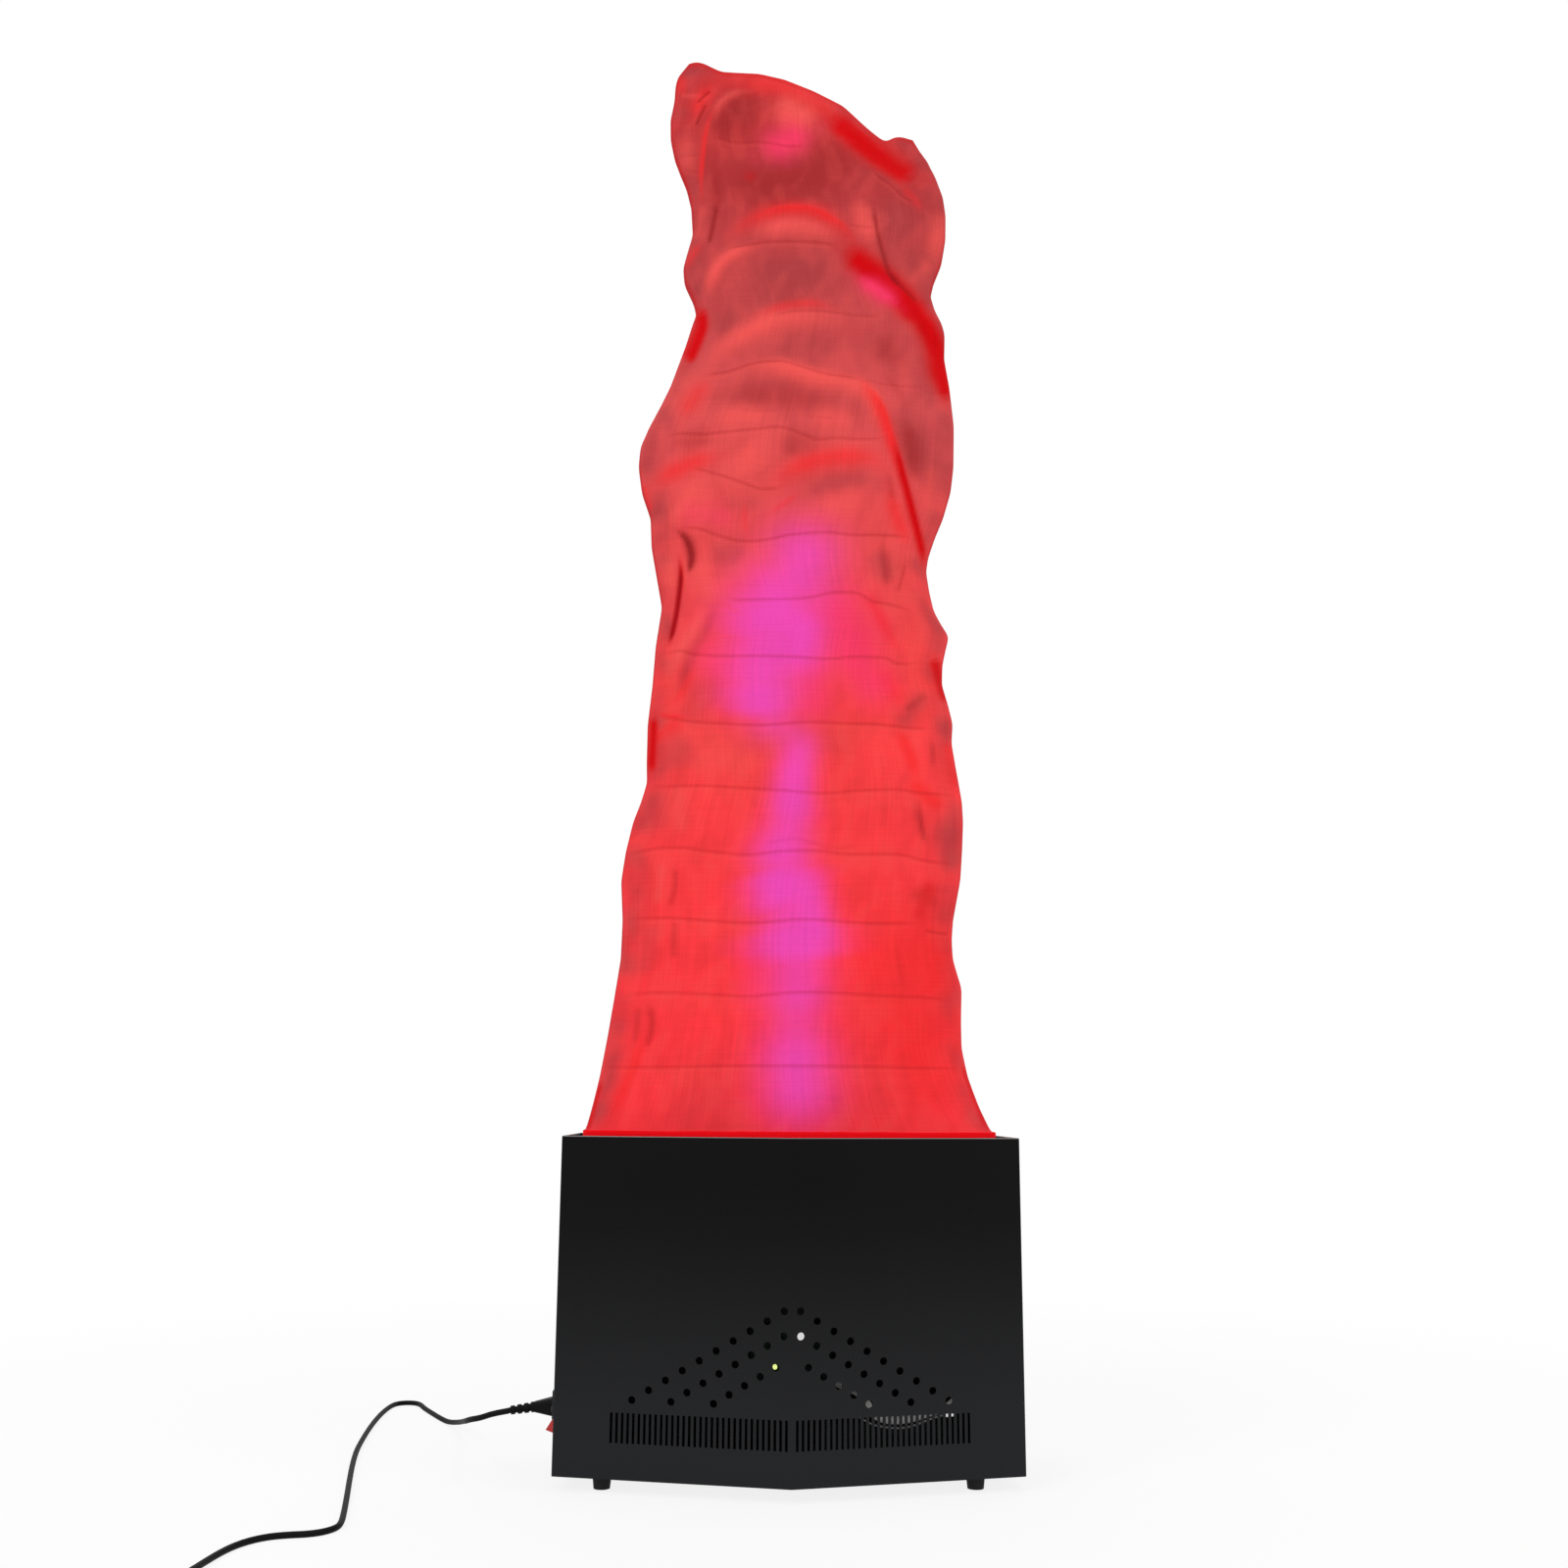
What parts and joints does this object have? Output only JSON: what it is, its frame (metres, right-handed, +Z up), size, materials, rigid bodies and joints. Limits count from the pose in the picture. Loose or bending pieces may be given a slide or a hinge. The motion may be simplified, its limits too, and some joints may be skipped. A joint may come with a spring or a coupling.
{
  "type": "silk flame effect light",
  "caption": "Floor-standing flame effect light: a ridged black sheet metal case with fans and lamps below a tall red silk flame, with a rocker switch and a mains lead.",
  "frame": {"origin": "on the floor under the middle of the case, which is the bottom centre of the bounding box without the mains lead", "axes": "+X to the right seen from the front, +Y away from the ridged front, +Z up along the flame"},
  "size_m": [0.8389, 1.0074, 1.838],
  "materials": {
    "case_black": "satin black powder coat",
    "inner_black": "satin black powder coat",
    "zinc_sheet": "bare zinc plated sheet",
    "foot_rubber": "matt black rubber",
    "screw_black": "black zinc plated screw",
    "screw_steel": "zinc plated screw",
    "tape": "black hook tape",
    "silk_red": "thin red silk, lit from below",
    "hem_red": "doubled red silk hem",
    "fan_alloy": "black painted die cast alloy",
    "motor_steel": "laminated motor core with windings",
    "bearing_steel": "ground steel",
    "impeller_black": "black moulded plastic",
    "shaft_steel": "ground steel",
    "guard_wire": "bright plated wire",
    "sink_alloy": "extruded alloy",
    "lamp_board": "white faced metal core board",
    "lamp_chip": "red lamp dome",
    "lens": "clear moulded lens",
    "supply_sheet": "zinc plated sheet",
    "board_green": "green circuit board",
    "supply_parts": "wound and moulded parts",
    "chip_black": "black moulded chips",
    "led_green": "lit green lamp",
    "plug_white": "white moulded plug",
    "post_nylon": "white nylon",
    "loom_grey": "grey sleeved wires",
    "clip_black": "black nylon clip",
    "inlet_black": "black moulded plastic",
    "pin_brass": "plated brass",
    "fuse_glass": "glass tube with plated caps",
    "rocker_red": "red translucent plastic",
    "lead_black": "black flexible plastic"
  },
  "bodies": {
    "case": {"front_shell": "case_black", "rear_panel": "case_black", "base_plate": "case_black", "fan_shelf": "zinc_sheet", "deck_plate": "inner_black", "foot_front_left": "foot_rubber", "foot_front_right": "foot_rubber", "foot_rear_left": "foot_rubber", "foot_rear_right": "foot_rubber", "foot_screws": "screw_steel", "case_screws": "screw_black", "hook_tape": "tape", "silk_hem": "hem_red", "silk_front": "silk_red", "silk_back": "silk_red", "fan_frame_left": "fan_alloy", "fan_frame_right": "fan_alloy", "fan_stator_left": "motor_steel", "fan_stator_right": "motor_steel", "fan_bearings_left": "bearing_steel", "fan_bearings_right": "bearing_steel", "fan_guard_left": "guard_wire", "fan_guard_right": "guard_wire", "fan_screws": "screw_steel", "nuts": "screw_steel", "lamp_sink_left": "sink_alloy", "lamp_sink_centre": "sink_alloy", "lamp_sink_right": "sink_alloy", "lamp_boards": "lamp_board", "lamp_chips": "lamp_chip", "lamp_lenses": "lens", "supply_tray": "supply_sheet", "supply_cover": "supply_sheet", "supply_board": "board_green", "supply_parts": "supply_parts", "control_bracket": "zinc_sheet", "control_board": "board_green", "board_posts": "post_nylon", "power_led": "led_green", "white_plug": "plug_white", "board_chips": "chip_black", "loom_plug": "plug_white", "wiring_loom": "loom_grey", "loom_clip": "clip_black", "inlet_body": "inlet_black", "inlet_pins": "pin_brass", "inlet_screws": "screw_black", "switch_body": "inlet_black"},
    "rocker": {"rocker": "rocker_red"},
    "fuse_carrier": {"fuse_drawer": "inlet_black", "fuse": "fuse_glass"},
    "impeller_left": {"fan_impeller_left": "impeller_black", "fan_shaft_left": "shaft_steel"},
    "impeller_right": {"fan_impeller_right": "impeller_black", "fan_shaft_right": "shaft_steel"},
    "mains_lead": {"lead_connector": "lead_black", "lead_relief": "lead_black", "lead_cord": "lead_black", "mains_plug": "lead_black", "plug_pins": "pin_brass"}
  },
  "joints": [
    {"name": "rocker_pivot", "type": "hinge", "parent": "case", "child": "rocker", "pos_m": [-0.262, -0.0325, 0.0636], "axis": [0, -1, 0], "range_deg": [0, 21]},
    {"name": "fuse_slide", "type": "slide", "parent": "case", "child": "fuse_carrier", "axis": [-1, 0, 0], "range_m": [0, 0.012]},
    {"name": "fan_spin_left", "type": "hinge", "parent": "case", "child": "impeller_left", "pos_m": [-0.118, 0.03, 0.251], "axis": [0, 0, 1], "continuous": true},
    {"name": "fan_spin_right", "type": "hinge", "parent": "case", "child": "impeller_right", "pos_m": [0.118, 0.03, 0.251], "axis": [0, 0, 1], "continuous": true},
    {"name": "lead_pull", "type": "slide", "parent": "case", "child": "mains_lead", "axis": [-1, 0, 0], "range_m": [0, 0.022]}
  ]
}
